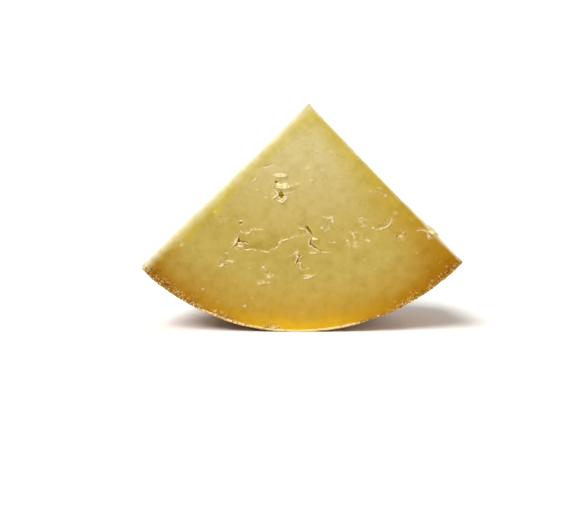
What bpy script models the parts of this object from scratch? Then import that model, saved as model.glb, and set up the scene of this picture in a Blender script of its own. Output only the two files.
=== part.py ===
"""A quarter of a natural-rind cheese wheel, split at mid-height and standing on its round rim.

Metres, +Z up. The big cut face looks along -Y and leans back a little, because the tapered rim lies flat under it.
The slab is shaped in its own frame first: the wheel's axis is Y, the big cut face is y = 0, the flat rind face is
at y = SLAB_HEIGHT, and the rim is below. It is then stood up, with the origin under the middle of its box.
"""

import math
from dataclasses import dataclass

import bmesh
import bpy
import numpy as np
from mathutils import Vector, noise

MM = 0.001

# The wheel and the cuts through it
WHEEL_RADIUS = 0.125  # at the horizontal cut, where the wheel is widest
SLAB_HEIGHT = 0.055  # from the horizontal cut to the wheel's flat rind face
RIM_TAPER = math.radians(5.5)  # the rim draws in towards the flat face, and the slab leans back as much
RIM_BULGE = 0.0004
HEEL_RADIUS = 0.0075  # the round between the rim and the flat rind face
DOME_RISE = 0.0012  # how far the flat rind face rises towards the wheel's middle
APEX = np.array([0.0056, 0.0, -0.0006])  # where the two knife cuts meet, beside the wheel's axis
LEFT_CUT = -math.radians(45.9)  # each knife cut's direction, from straight down
RIGHT_CUT = math.radians(44.6)
CRISP_EDGE = 0.0009  # the round of a knife-cut edge
SMEARED_EDGE = 0.0026  # the same along the left cut, which the knife has smeared
SMEAR_REACH = 0.012
APEX_EDGE = 0.0005  # the same where the two knife cuts meet
APEX_REACH = 0.008
FOOT_DEPTH = 0.0003  # how much of the rim its own weight has pressed flat

# Unevenness
KNIFE_WAVE = 0.00035
KNIFE_WAVE_LENGTH = 0.028
TEAR_WANDER = 0.0014  # how far a tear's edge wanders off its path
TEAR_WANDER_LENGTH = 0.003
BANK_WIDTH = 2.8  # in millimetres, how far above a fissure the face starts to slope down into it
RIND_LUMP = 0.0005
RIND_LUMP_LENGTHS = (0.024, 0.009)
RIND_REACH = 0.015  # how far under the rind its lumps still bend the slab
HEEL_RIDGE = 0.0006  # the raised line that the mould's lid leaves beside the heel
HEEL_RIDGE_WIDTH = 0.0013

# Mesh
FACE_CELLS = 150
DEPTH_CELLS = 52
KEPT_TRIANGLES = 9000
SEED = 4

# Tears in the cut faces, in millimetres: each fissure's width and depth, how far the face above it slopes down into
# it, and its path. On the big face a place is x and z from the wheel's axis. On a knife cut it is the way out from
# the apex and the depth behind the big face.
FACE_FISSURES = (
    (1.1, 2.4, 0.8, ((-32, -75.5), (-28.5, -75.5), (-27.5, -76.5))),
    (1.0, 2.0, 0.3, ((-32, -73), (-32, -75.5), (-35.5, -78.5))),
    (0.8, 0.7, 1.6, ((-29, -78.5), (-27.5, -79), (-21.5, -79.5), (-16.5, -80.5), (-13.5, -80))),
    (0.8, 1.0, 0.6, ((-13, -79.5), (-11.5, -78), (-10.5, -76.5))),
    (0.8, 0.8, 0.5, ((-10.5, -76.5), (-7.5, -74), (-4.5, -73.5), (0.5, -72))),
    (0.8, 0.8, 0.2, ((-31.5, -68.5), (-29.5, -70.5), (-27, -70.5), (-23, -68.5), (-19.5, -69))),
    (1.2, 2.4, 0.5, ((4, -67.5), (5, -68), (6.5, -69.5), (7.5, -72))),
    (1.0, 2.0, 0.3, ((7.5, -74), (6.5, -76.5), (8.5, -78.5), (11, -80))),
    (0.8, 1.2, 0.3, ((11, -80), (15, -80.5), (19, -81))),
    (0.9, 1.4, 0.3, ((-13, -47.5), (-9, -49.5), (-3.5, -48))),
    (0.9, 1.4, 0.1, ((-9, -49.5), (-10.5, -50.5), (-13, -53))),
    (0.8, 1.2, 0.1, ((-9, -49.5), (-7, -53))),
    (0.8, 1.0, 0.4, ((-39, -87), (-34.5, -86))),
    (0.7, 0.8, 0.2, ((-19, -88.5), (-17, -90.5))),
    (0.9, 1.4, 0.3, ((-1, -82), (1, -83.5), (-0.5, -86.5), (1.5, -86.5))),
    (0.8, 1.0, 0.3, ((1.5, -86.5), (2, -88), (3, -90), (5.5, -90))),
    (0.7, 0.8, 0.4, ((2, -95), (5, -94.5), (8.5, -93.5))),
    (0.8, 0.8, 0.9, ((42, -69), (44.5, -68), (47.5, -67), (49.5, -65.5), (50.5, -63))),
    (0.8, 1.0, 0.5, ((64.5, -69), (69, -68.5), (71, -70.5), (72, -73.5))),
    (0.7, 0.7, 0.6, ((-19.5, -35.5), (-13.5, -33.5))),
    (0.7, 0.8, 0.2, ((17, -75.5), (20.5, -75.5))),
)
LEFT_FISSURES = (
    (1.2, 2.6, 0.7, ((42, 20), (47, 18), (52, 21), (58, 19))),
    (0.9, 1.4, 0.6, ((58, 19), (63, 16), (70, 17))),
    (1.0, 2.0, 0.5, ((78, 31), (84, 33), (88, 30))),
    (0.8, 1.0, 0.4, ((30, 36), (35, 37))),
)
RIGHT_FISSURES = (
    (1.2, 2.6, 0.7, ((55, 24), (60, 27), (66, 25), (71, 28))),
    (0.9, 1.4, 0.6, ((71, 28), (79, 30), (85, 29))),
    (1.0, 1.8, 0.5, ((36, 14), (41, 16), (44, 14))),
    (0.8, 1.0, 0.4, ((90, 18), (95, 20))),
)
# Eyes, the small round holes that gas leaves: place, radius and depth
FACE_EYES = (
    (-8.8, -49.9, 2.1, 2.6),
    (-11.5, -43.3, 1.0, 1.4),
    (-32, -75.3, 1.4, 2.4),
    (-31, -65.5, 0.9, 1.2),
    (-0.5, -86.3, 1.1, 1.4),
    (34, -61.7, 0.8, 1.0),
    (54, -72.5, 0.9, 1.2),
)
LEFT_EYES = ((52, 20.5, 1.6, 2.2), (24, 22, 1.0, 1.4), (84, 33, 1.1, 1.8), (68, 40, 0.8, 1.2))
RIGHT_EYES = ((65, 25.5, 1.7, 2.4), (40, 15.5, 1.2, 1.8), (20, 30, 0.8, 1.2), (92, 40, 0.9, 1.3))
# Flaps of paste that the cut has torn loose and laid down again: place, half width, half height, and how far the
# lower edge stands proud
FACE_FLAPS = (
    (-9.5, -39.7, 4.2, 1.4, 0.6),
    (-8, -45.4, 6.4, 1.7, 0.6),
    (-31.2, -77.8, 2.2, 1.3, 0.5),
    (9.2, -74, 2.0, 1.3, 0.7),
    (8.5, -81.6, 3.0, 1.2, 0.4),
    (-0.5, -81.3, 1.6, 1.2, 0.4),
    (5.5, -94, 3.0, 1.0, 0.4),
    (-37, -86, 2.8, 1.0, 0.4),
    (72.8, -70, 2.6, 1.5, 1.0),
    (-16, -94, 2.4, 1.8, 0.5),
    (56, -72, 1.6, 1.4, 0.5),
    (29.5, -72.5, 2.2, 1.4, 0.4),
    (18, -64, 1.8, 1.4, 0.4),
    (-21, -80.9, 7.0, 0.9, 0.4),
    (46.5, -68.6, 4.0, 0.9, 0.4),
)


@dataclass
class CutFace:
    """A face that a knife or wire made: where its measures start, its two directions, and what is torn in it."""

    start: np.ndarray
    across: np.ndarray
    along: np.ndarray
    inward: np.ndarray
    fissures: tuple
    eyes: tuple
    flaps: tuple = ()

    def flat(self, points):
        """The places of these points on the face."""
        return np.stack([(points - self.start) @ self.across, (points - self.start) @ self.along], axis=1)

    def under(self, points):
        """How deep these points lie behind the face."""
        return (points - self.start) @ self.inward


def knife_cut(angle, side, fissures, eyes):
    way_out = np.array([math.sin(angle), 0.0, -math.cos(angle)])
    inward = side * np.array([math.cos(angle), 0.0, math.sin(angle)])
    return CutFace(APEX, way_out, np.array([0.0, 1.0, 0.0]), inward, fissures, eyes)


BIG_FACE = CutFace(np.zeros(3), *np.eye(3)[[0, 2, 1]], FACE_FISSURES, FACE_EYES, FACE_FLAPS)
LEFT_FACE = knife_cut(LEFT_CUT, 1, LEFT_FISSURES, LEFT_EYES)
RIGHT_FACE = knife_cut(RIGHT_CUT, -1, RIGHT_FISSURES, RIGHT_EYES)


def smooth_step(low, high, value):
    share = np.clip((value - low) / (high - low), 0.0, 1.0)
    return share * share * (3.0 - 2.0 * share)


def lumps(points, size, seed):
    """Smooth noise between about -1 and 1, with lumps of that size."""
    shift = Vector((17.3, 9.1, 4.7)) * (SEED + seed)
    return np.array([noise.noise(Vector(point) / size + shift) for point in points])


def wheel_profile(share_deep):
    """The rim's radius and y at each share of the way from the cut edge, over the heel, to the flat rind face."""
    straight = SLAB_HEIGHT - HEEL_RADIUS
    gone = share_deep * (straight + HEEL_RADIUS * math.pi / 2)
    turn = np.clip((gone - straight) / HEEL_RADIUS, 0.0, math.pi / 2)
    run = np.minimum(gone, straight)
    ridge = HEEL_RIDGE * np.exp(-(((gone - straight + HEEL_RIDGE_WIDTH) / HEEL_RIDGE_WIDTH) ** 2))
    radius = WHEEL_RADIUS - run * math.tan(RIM_TAPER) + RIM_BULGE * np.sin(math.pi * run / straight) + ridge
    return radius - HEEL_RADIUS * (1 - np.cos(turn)), run + HEEL_RADIUS * np.sin(turn)


def way_to_rim(direction, radius):
    """How far the rim is from the apex, as the apex isn't quite at the wheel's centre."""
    toward = direction @ APEX
    return -toward + np.sqrt(toward**2 - APEX @ APEX + radius**2)


def slab_from_cube(cube):
    """Carries the unit cube onto the sharp slab: its first two axes follow the knife cuts, its third is depth."""
    left, right, deep = cube.T
    across, up = left * np.sqrt(1 - right**2 / 2), right * np.sqrt(1 - left**2 / 2)
    turn = np.arctan2(up, across) / (math.pi / 2)
    angle = LEFT_CUT + (RIGHT_CUT - LEFT_CUT) * turn
    direction = np.stack([np.sin(angle), np.zeros(len(cube)), -np.cos(angle)], axis=1)
    radius, y = wheel_profile(deep)
    points = APEX + (np.hypot(across, up) * way_to_rim(direction, radius))[:, None] * direction
    points[:, 1] = y
    return points


def away_from_axis(points):
    """Each point's distance from the wheel's axis, and its direction."""
    flat = points * [1.0, 0.0, 1.0]
    distance = np.linalg.norm(flat, axis=1)
    return distance, flat / np.maximum(distance, MM)[:, None]


def edge_size(points):
    """How round the nearest edge is: smeared along the left cut, crisp elsewhere and crispest at the apex."""
    size = SMEARED_EDGE + (CRISP_EDGE - SMEARED_EDGE) * smooth_step(SMEARED_EDGE, SMEAR_REACH, LEFT_FACE.under(points))
    from_apex = np.linalg.norm((points - APEX) * [1.0, 0.0, 1.0], axis=1)
    return APEX_EDGE + (size - APEX_EDGE) * smooth_step(0.0, APEX_REACH, from_apex)


def round_the_edges(points):
    """Rounds every knife-cut edge, by how deep each point lies under each of the faces around it."""
    distance, outward = away_from_axis(points)
    rim_radius = WHEEL_RADIUS - points[:, 1] * math.tan(RIM_TAPER)
    nearer_front = np.where(points[:, 1] < SLAB_HEIGHT / 2, 1.0, -1.0)
    under = (
        np.minimum(points[:, 1], SLAB_HEIGHT - points[:, 1]),
        LEFT_FACE.under(points),
        RIGHT_FACE.under(points),
        np.maximum(rim_radius - distance, 0.0),
    )
    inward = (nearer_front[:, None] * BIG_FACE.inward, LEFT_FACE.inward, RIGHT_FACE.inward, -outward)
    size = edge_size(points)
    short = [np.minimum(depth - size, 0.0) for depth in under]
    reach = np.maximum(np.sqrt(sum(part**2 for part in short)), size)
    rounded = points.copy()
    for part, way in zip(short, inward):
        rounded += (part * (size / reach - 1.0))[:, None] * way
    return rounded


def age_the_rind(points):
    """Raises the flat rind face into a dome, and gives the rim and that face the lumps of ageing on a board."""
    distance, outward = away_from_axis(points)
    long_lump, short_lump = RIND_LUMP_LENGTHS
    lump = RIND_LUMP * (lumps(points, long_lump, 5) + 0.5 * lumps(points, short_lump, 6))
    beside_foot = smooth_step(0.010, 0.030, np.abs(points[:, 0]) + np.maximum(points[:, 2] + WHEEL_RADIUS / 2, 0.0))
    near_rim = smooth_step(WHEEL_RADIUS - RIND_REACH, WHEEL_RADIUS, distance) * beside_foot
    near_flat = smooth_step(SLAB_HEIGHT - RIND_REACH, SLAB_HEIGHT, points[:, 1])
    dome = DOME_RISE * (1 - (distance / WHEEL_RADIUS) ** 2) * points[:, 1] / SLAB_HEIGHT
    aged = points + (near_rim * lump)[:, None] * outward
    aged[:, 1] += dome + near_flat * lump
    return aged


def distance_to_path(flat, path):
    """Each place's distance from the path, and on which side of it the place lies."""
    nearest = np.full(len(flat), np.inf)
    side = np.zeros(len(flat))
    for start, end in zip(path, path[1:]):
        run = np.subtract(end, start)
        offset = flat - start
        share = np.clip(offset @ run / (run @ run), 0.0, 1.0)
        reach = np.linalg.norm(offset - share[:, None] * run, axis=1)
        side = np.where(reach < nearest, np.sign(run[0] * offset[:, 1] - run[1] * offset[:, 0]), side)
        nearest = np.minimum(nearest, reach)
    return nearest, side


def cut_relief(face, points):
    """How deep the cut face sinks at each point: knife waves, torn fissures and eyes, less the proud flaps."""
    flat = face.flat(points) / MM
    wander = [lumps(points, TEAR_WANDER_LENGTH, seed) for seed in (1, 2)]
    torn = flat + TEAR_WANDER / MM * np.stack(wander, axis=1)
    sink = np.zeros(len(points))
    for x, z, half_width, half_height, proud in face.flaps:
        up = (torn[:, 1] - z) / half_height
        reach = np.hypot((torn[:, 0] - x) / half_width, up)
        sink -= proud * (1 - smooth_step(0.6, 1.1, reach)) * smooth_step(1.2, -0.6, up)
    for width, depth, bank, path in face.fissures:
        reach, side = distance_to_path(torn, path)
        sink += depth * (1 - smooth_step(0.3 * width, 1.2 * width, reach))
        sink += np.where(side > 0, bank * np.exp(-((reach / BANK_WIDTH) ** 2)), 0.0)
    for x, z, radius, depth in face.eyes:
        reach = np.hypot(torn[:, 0] - x, torn[:, 1] - z)
        sink += depth * (1 - smooth_step(0.35 * radius, 1.15 * radius, reach))
    return sink * MM + KNIFE_WAVE * lumps(points, KNIFE_WAVE_LENGTH, 3)


def shape_slab(cube):
    """Every point of the slab's surface, in its own frame, from its place on the unit cube."""
    sharp = slab_from_cube(cube)
    points = age_the_rind(round_the_edges(sharp))
    left, right, deep = cube.T
    for face, chosen in ((BIG_FACE, deep == 0), (LEFT_FACE, right == 0), (RIGHT_FACE, left == 0)):
        points[chosen] += cut_relief(face, sharp[chosen])[:, None] * face.inward
    return points


def stand_up(points):
    """Leans the slab back until its tapered rim lies flat, and presses the foot against the ground."""
    x, y, z = points.T
    lean_sine, lean_cosine = math.sin(RIM_TAPER), math.cos(RIM_TAPER)
    above_foot = z + WHEEL_RADIUS
    back = y * lean_cosine + above_foot * lean_sine
    up = np.maximum(above_foot * lean_cosine - y * lean_sine - FOOT_DEPTH, 0.0)
    standing = np.stack([x, back, up], axis=1)
    middle = (standing.min(axis=0) + standing.max(axis=0)) / 2
    return standing - middle * [1.0, 1.0, 0.0]


def unit_cube():
    """A closed unit cube with a corner at the origin, its sides split into equal cells."""
    build = bmesh.new()
    bmesh.ops.create_cube(build, size=1.0)
    bmesh.ops.translate(build, verts=build.verts, vec=(0.5, 0.5, 0.5))
    upright = [edge for edge in build.edges if edge.verts[0].co.z != edge.verts[1].co.z]
    bmesh.ops.subdivide_edges(build, edges=upright, cuts=DEPTH_CELLS - 1, use_grid_fill=True)
    level = [edge for edge in build.edges if edge.calc_length() > 0.5]
    bmesh.ops.subdivide_edges(build, edges=level, cuts=FACE_CELLS - 1, use_grid_fill=True)
    return build


def thinned(dense):
    """The same mesh with the triangles kept where the shape needs them, and its foot flat on the ground."""
    thin = dense.modifiers.new("keep_the_shape", "DECIMATE")
    thin.ratio = KEPT_TRIANGLES / (2 * len(dense.data.polygons))
    mesh = bpy.data.meshes.new_from_object(dense.evaluated_get(bpy.context.evaluated_depsgraph_get()))
    dense.modifiers.remove(thin)
    for vertex in mesh.vertices:
        if vertex.co.z < 0.1 * FOOT_DEPTH:
            vertex.co.z = 0.0
    return mesh


def cheese_material():
    material = bpy.data.materials.new("aged_pressed_cheese")
    material.use_nodes = True
    shader = material.node_tree.nodes["Principled BSDF"]
    shader.inputs["Base Color"].default_value = (0.60, 0.42, 0.13, 1.0)
    shader.inputs["Roughness"].default_value = 0.55
    shader.inputs["Metallic"].default_value = 0.0
    return material


def make_wedge():
    build = unit_cube()
    cube = np.array([vertex.co for vertex in build.verts]).round(6).clip(0.0, 1.0)
    for vertex, place in zip(build.verts, stand_up(shape_slab(cube))):
        vertex.co = place
    bmesh.ops.recalc_face_normals(build, faces=build.faces)
    mesh = bpy.data.meshes.new("cheese_wedge")
    build.to_mesh(mesh)
    build.free()
    wedge = bpy.data.objects.new("cheese_wedge", mesh)
    bpy.context.scene.collection.objects.link(wedge)
    wedge.data = thinned(wedge)
    wedge.data.materials.append(cheese_material())
    wedge.data.shade_smooth()
    wedge.data.set_sharp_from_angle(angle=math.radians(35))


def main():
    for thing in list(bpy.data.objects):
        bpy.data.objects.remove(thing)
    make_wedge()


main()
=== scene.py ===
"""A quarter of a natural-rind cheese wheel, split at mid-height, standing on its round rim.

It is laid out as a Blender add-on. The paste and the rind are both shaped from a unit cube whose sides are
carried onto the wedge: the cube's x and y follow the two knife cuts outwards, and its z is the depth behind
the big cut face. The wedge is worked out in its own frame, where the wheel's axis is Y, the big cut face is
y = 0 and the rim is below, and is then stood up. Sizes are in metres, unless a comment says millimetres.
"""

import math
from dataclasses import dataclass

import bmesh
import bpy
import numpy as np
from bpy.props import FloatProperty, FloatVectorProperty, IntProperty, PointerProperty
from mathutils import Euler, Matrix, Vector, noise


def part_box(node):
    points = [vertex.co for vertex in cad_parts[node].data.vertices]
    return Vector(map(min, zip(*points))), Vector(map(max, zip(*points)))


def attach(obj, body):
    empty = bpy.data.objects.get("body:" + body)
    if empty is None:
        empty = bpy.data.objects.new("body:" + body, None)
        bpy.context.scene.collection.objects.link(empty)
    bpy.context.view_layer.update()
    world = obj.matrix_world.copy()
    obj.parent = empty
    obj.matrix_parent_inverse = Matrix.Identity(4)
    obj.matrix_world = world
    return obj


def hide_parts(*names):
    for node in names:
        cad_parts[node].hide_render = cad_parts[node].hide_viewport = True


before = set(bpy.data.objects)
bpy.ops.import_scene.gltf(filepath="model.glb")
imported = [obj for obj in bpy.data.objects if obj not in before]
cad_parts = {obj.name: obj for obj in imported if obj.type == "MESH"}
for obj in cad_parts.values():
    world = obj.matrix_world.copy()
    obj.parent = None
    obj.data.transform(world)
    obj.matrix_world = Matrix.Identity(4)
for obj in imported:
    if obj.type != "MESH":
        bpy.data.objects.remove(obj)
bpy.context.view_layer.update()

bl_info = {
    "name": "Quarter Cheese Wheel",
    "version": (1, 0, 0),
    "blender": (4, 5, 0),
    "location": "3D View > Sidebar > Cheese",
    "description": "Models a quarter of a natural-rind cheese wheel that stands on its rim",
    "category": "Add Mesh",
}

MM = 0.001
SEED = 4
NODE_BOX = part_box("cheese_wedge")

# Where the two knife cuts meet, beside the wheel's axis, and each cut's direction from straight down
APEX = np.array([0.0056, 0.0, -0.0006])
LEFT_CUT = -math.radians(45.9)
RIGHT_CUT = math.radians(44.6)

# The camera, from the foot of the big cut face
CAMERA_PLACE = Vector((-0.0054, -0.3204, 0.0754))
CAMERA_DIP = math.radians(6.98)
CAMERA_ROLL = math.radians(-0.17)
CAMERA_LENS = 37.5
CAMERA_SENSOR = 36.0

# Tears in the cut faces, in millimetres: the width and depth of each fissure's slit, how far the face above
# slopes down into it, how far the torn lip below stands proud, and its path. On the big face a place is x and
# z from the wheel's axis. On a knife cut it is the way out from the apex and the depth behind the big face.
FACE_FISSURES = (
    (0.5, 1.0, 0.7, 0.35, ((-32, -75.5), (-28.5, -75.8), (-27, -76.8))),
    (0.5, 1.0, 0.3, 0.45, ((-32, -73), (-32, -75.5), (-35.5, -79))),
    (0.3, 0.2, 1.2, 0.55, ((-29, -78.8), (-27.3, -79.3), (-21.2, -79.8), (-16.2, -80.7), (-14, -79.5))),
    (0.45, 0.6, 0.6, 0.40, ((-13, -79.5), (-11.5, -78), (-10.5, -76.5))),
    (0.3, 0.2, 0.4, 0.55,
     ((-10.5, -76.5), (-9.5, -75.5), (-7.5, -74), (-4.5, -73.5), (-2, -72.5), (0.5, -72))),
    (0.3, 0.2, 0.2, 0.50,
     ((-31.5, -68.5), (-29.5, -70.5), (-27, -70.5), (-26, -69), (-23, -68.5), (-19.5, -69))),
    (1.0, 1.5, 0.5, 0.45, ((4.2, -68), (5.2, -67.8), (6.5, -69.7), (7.9, -72))),
    (0.3, 0.2, 0.0, 0.55, ((0.5, -67.5), (3.5, -68.5))),
    (0.65, 1.3, 0.3, 0.50, ((7.4, -74), (6.7, -76.7), (8.1, -77.9), (11.2, -79.8))),
    (0.35, 0.7, 0.3, 0.15, ((11.2, -79.8), (14.5, -80.6), (18.5, -81))),
    (0.35, 0.5, 0.2, 0.45, ((-13, -46.9), (-11, -48.3), (-10.3, -49.5))),
    (0.35, 0.5, 0.2, 0.50, ((-7.6, -48.9), (-5.5, -48.3), (-3.2, -48.1))),
    (0.35, 0.4, 0.1, 0.65, ((-10.4, -50.8), (-11.8, -51.6), (-13.3, -52.9))),
    (0.3, 0.2, 0.0, 0.70, ((-10.4, -53), (-8.6, -53.6), (-7, -52.4), (-6.2, -50.2))),
    (0.35, 0.4, 0.4, 0.60, ((-39, -87), (-34.5, -86))),
    (0.3, 0.2, 0.2, 0.50, ((-43, -88.5), (-40.5, -88.5))),
    (0.4, 0.4, 0.4, 0.60, ((-19, -88.2), (-16.6, -90.8))),
    (0.4, 0.6, 0.3, 0.45, ((-1, -82), (1, -83.5), (-0.5, -86.5), (1.5, -86.5))),
    (0.4, 0.5, 0.3, 0.40, ((1.5, -86.5), (2, -88), (3, -90), (5.5, -90))),
    (0.35, 0.3, 0.4, 0.60, ((2, -95), (5, -94.5), (8.5, -93.5))),
    (0.3, 0.3, 0.9, 0.55, ((42, -69), (44.5, -68), (47.5, -67), (49.5, -65.5), (50.5, -63))),
    (0.35, 0.4, 0.5, 0.50, ((64.5, -69), (69, -68.5), (71, -70.5), (72, -73.5))),
    (0.35, 0.3, 0.6, 0.15, ((-19.5, -35.5), (-13.5, -33.5))),
    (0.3, 0.2, 0.3, 0.40, ((-24.5, -42.5), (-23, -40.5))),
    (0.3, 0.4, 0.2, 0.40, ((17, -75.5), (20.5, -75.5))),
    (0.3, 0.2, 0.2, 0.45, ((13.5, -62), (18, -62.5))),
)
LEFT_FISSURES = (
    (0.9, 2.2, 0.7, 0.35, ((42, 20), (47, 18), (52, 21), (58, 19))),
    (0.5, 0.9, 0.6, 0.50, ((58, 19), (63, 16), (70, 17))),
    (0.7, 1.5, 0.5, 0.40, ((78, 31), (84, 33), (88, 30))),
    (0.4, 0.5, 0.4, 0.50, ((30, 36), (35, 37))),
)
RIGHT_FISSURES = (
    (0.9, 2.2, 0.7, 0.20, ((55, 24), (60, 27), (66, 25), (71, 28))),
    (0.5, 0.9, 0.6, 0.20, ((71, 28), (79, 30), (85, 29))),
    (0.7, 1.4, 0.5, 0.40, ((36, 14), (41, 16), (44, 14))),
    (0.4, 0.5, 0.4, 0.50, ((90, 18), (95, 20))),
)
# How far the face slopes towards a fissure, and how wide its lip is, in millimetres
BANK_REACH = 2.8
LIP_WIDTH = 0.42
# Eyes, the small holes that gas leaves: place, radius and depth
FACE_EYES = (
    (-9.2, -49.5, 1.5, 1.3),
    (-8.8, -51.1, 1.3, 1.6),
    (-11.5, -43.3, 0.9, 1.1),
    (-32, -75.3, 0.9, 1.5),
    (-31, -65.5, 0.6, 1.0),
    (-0.5, -86.3, 0.8, 1.0),
    (1.2, -83.4, 0.6, 0.8),
    (34, -61.7, 0.5, 0.9),
    (54, -72.5, 0.6, 1.0),
)
LEFT_EYES = ((52, 20.5, 1.4, 1.9), (24, 22, 0.8, 1.2), (84, 33, 1.0, 1.5), (68, 40, 0.6, 1.0))
RIGHT_EYES = ((65, 25.5, 1.5, 2.0), (40, 15.5, 1.0, 1.5), (20, 30, 0.6, 1.0), (92, 40, 0.7, 1.1))
# Flaps of paste that the cut has torn loose and laid down again: place, half width, half height, and how far
# the lower edge stands proud
FACE_FLAPS = (
    (-9.5, -39.6, 4.3, 1.6, 0.55),
    (-8, -45.5, 6.3, 1.7, 0.60),
    (-31.2, -77.8, 2.2, 1.2, 0.40),
    (9.2, -74, 1.9, 1.0, 0.65),
    (8.5, -81.6, 3.0, 1.0, 0.25),
    (-0.5, -81.3, 1.4, 1.0, 0.30),
    (5.5, -94, 3.0, 0.7, 0.35),
    (-37, -86, 2.8, 0.7, 0.30),
    (72.8, -70, 2.6, 1.4, 0.7),
    (-17.5, -51.8, 1.1, 0.7, 0.25),
    (-22, -47.5, 1.3, 0.4, 0.20),
    (-26, -90, 1.2, 0.6, 0.15),
    (-38.5, -82, 1.3, 0.5, 0.25),
    (18.5, -63.5, 1.0, 0.8, 0.30),
    (29.5, -71.8, 1.4, 0.7, 0.30),
    (43.5, -46.5, 1.5, 0.8, 0.20),
)
RIGHT_FLAPS = ((97, 0.2, 3.9, 1.6, 1.5),)
# Crumbly places on the big face: place, radius and roughness
FACE_CRUMBLES = (
    (-15.5, -93.5, 3.6, 0.50),
    (-19, -98, 3.2, 0.36),
    (-0.5, -84.5, 5.0, 0.45),
    (56, -72, 4.2, 0.50),
    (-9, -48, 7.0, 0.22),
    (-32, -76, 6.0, 0.25),
    (30, -74, 7.5, 0.28),
    (17, -66, 5.5, 0.28),
    (35, -64.5, 4.5, 0.24),
    (47, -65, 5.5, 0.20),
    (3, -71, 5.0, 0.26),
    (72, -71, 4.0, 0.30),
    (-40, -86, 4.5, 0.20),
    (-41, -63, 4.5, 0.12),
    (44, -48, 4.0, 0.14),
)
# Pale grains that stand out of the big face, their paleness partly a painted glint: places of the clear ones
# and of the faint ones
FACE_GRAINS = (
    (18, -62.5), (19, -64.5), (13, -68), (41, -68), (39, -48), (47.5, -50.5), (30, -71), (27, -75),
    (37.5, -74.5), (38.7, -75.3), (-16, -98), (-41, -88.5), (-45, -59.5), (-51.5, -101.5), (-31, -64.4),
    (56, -72.8), (-28.8, -110.6),
)
FAINT_GRAINS = (
    (15.5, -69.5), (53, -60), (36, -67), (34, -64.5), (31.5, -76), (31, -78), (-21, -98), (-63, -77.5),
    (10, -26.5), (18, -27), (5, -36), (13.5, -37), (23, -40.5), (7.5, -42.5), (0, -44.5), (-9.5, -54),
)
# Random pocks: how many, and where on the big face
POCK_COUNT = 90
POCK_SPACE = ((-80, 85), (-115, -12))
# The radii of the pocks, the clear grains and the faint ones, in millimetres, and how strong each kind is
POCK_KIND = ((0.2, 0.45), 0.3)
GRAIN_KIND = ((0.4, 0.7), 0.9)
FAINT_KIND = ((0.6, 1.1), 0.4)
# Where whey has stained the big face yellow, beside a band along its left edge, and, in the first entry,
# painted shade under the apex's smeared fat: the place, the half width and height, and how strong each is
FACE_STAINS_AND_SHADE = (
    (5.8, -8.2, 4.2, 1.8, 0.5),
    (-43.8, -57.4, 2.6, 4.2, 0.55),
    (-74.5, -84.5, 2.4, 2.2, 0.35),
    (52, -54, 2.6, 3.2, 0.2),
    (62.5, -63, 2.4, 2.6, 0.25),
)
WHEY_BAND = 9.0
# How far in from the big face, the left cut and the right cut the paste has dried golden, in millimetres, and
# what share of that is left at the apex
DRY_SPANS = (10.0, 14.0, 36.0)
DRY_SHARE_AT_APEX = 0.25
# How dry the paste is at the apex, and from how far to how far that fades, in millimetres
APEX_DRYNESS = 0.6
APEX_DRY_SPAN = (6.0, 26.0)
# How far from the apex the cut has smeared fat, in millimetres
APEX_SMEAR = (6.5, 2.5)
# The wire's ticks beside the right cut, in millimetres
TICK_PITCH = 1.4
TICK_REACH = 3.0
TICK_START = (4.0, 10.0)
# How wide the crumbly crust beside the rim is, in millimetres, at each share of the big face's arc
CRUST_SHARES = (0.0, 0.10, 0.25, 0.28, 0.32, 0.38, 0.405, 0.44, 0.70, 0.76, 0.90, 1.0)
CRUST_WIDTHS = (4.4, 4.0, 2.4, 3.2, 1.0, 1.4, 4.2, 1.2, 1.0, 1.8, 3.0, 4.0)
SIDE_CRUST_WIDTH = 1.6
# Where the rim is lowest, the paste under the rind is painted a brighter yellow, as painted bounce light from
# below: the half width and the heights between which that fades in, in shares of the wheel's radius
LOW_WIDTH = 0.36
LOW_SPAN = (-0.5, -0.85)
# The depths behind the flat rind face over which that rind stops ripening the paste, in millimetres
FLAT_RIPE_SPAN = (25.0, 55.0)
# The depths behind the rind over which body paste turns to heart, dry amber edges fade in, and ripe gold and
# amber fade out, in millimetres
HEART_SPAN = (50.0, 105.0)
EDGE_SPAN = (80.0, 18.0)
GOLD_SPAN = (3.0, 28.0)
AMBER_SPAN = (1.0, 12.0)
# How far behind the big cut the rind stops being young and orange, in millimetres
YOUNG_SPAN = (1.0, 11.0)
# Pale grains in the cut through the rind: where they are thickest round the arc, how far from there they fade
# in, and how far behind the big cut they do, in millimetres
PALE_MIDDLE = -11.0
PALE_SPAN = (58.0, 34.0)
PALE_DEPTHS = (40.0, 10.0)

# Crumb radii beside the rind and round the tears, in millimetres
CRUMB_RADIUS = (0.15, 0.38)
TEAR_CRUMB_RADIUS = (0.12, 0.3)

# Cells across a side of the unit cube and through its depth
PASTE_CELLS = (88, 40)
RIND_CELLS = (132, 80)
# Rounds of refining the paste: how near to a tear, and to the big face's right and round edges, the cells are
# halved, in millimetres
REFINING = ((2.6, 3.6), (1.0, 0.0))

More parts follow.
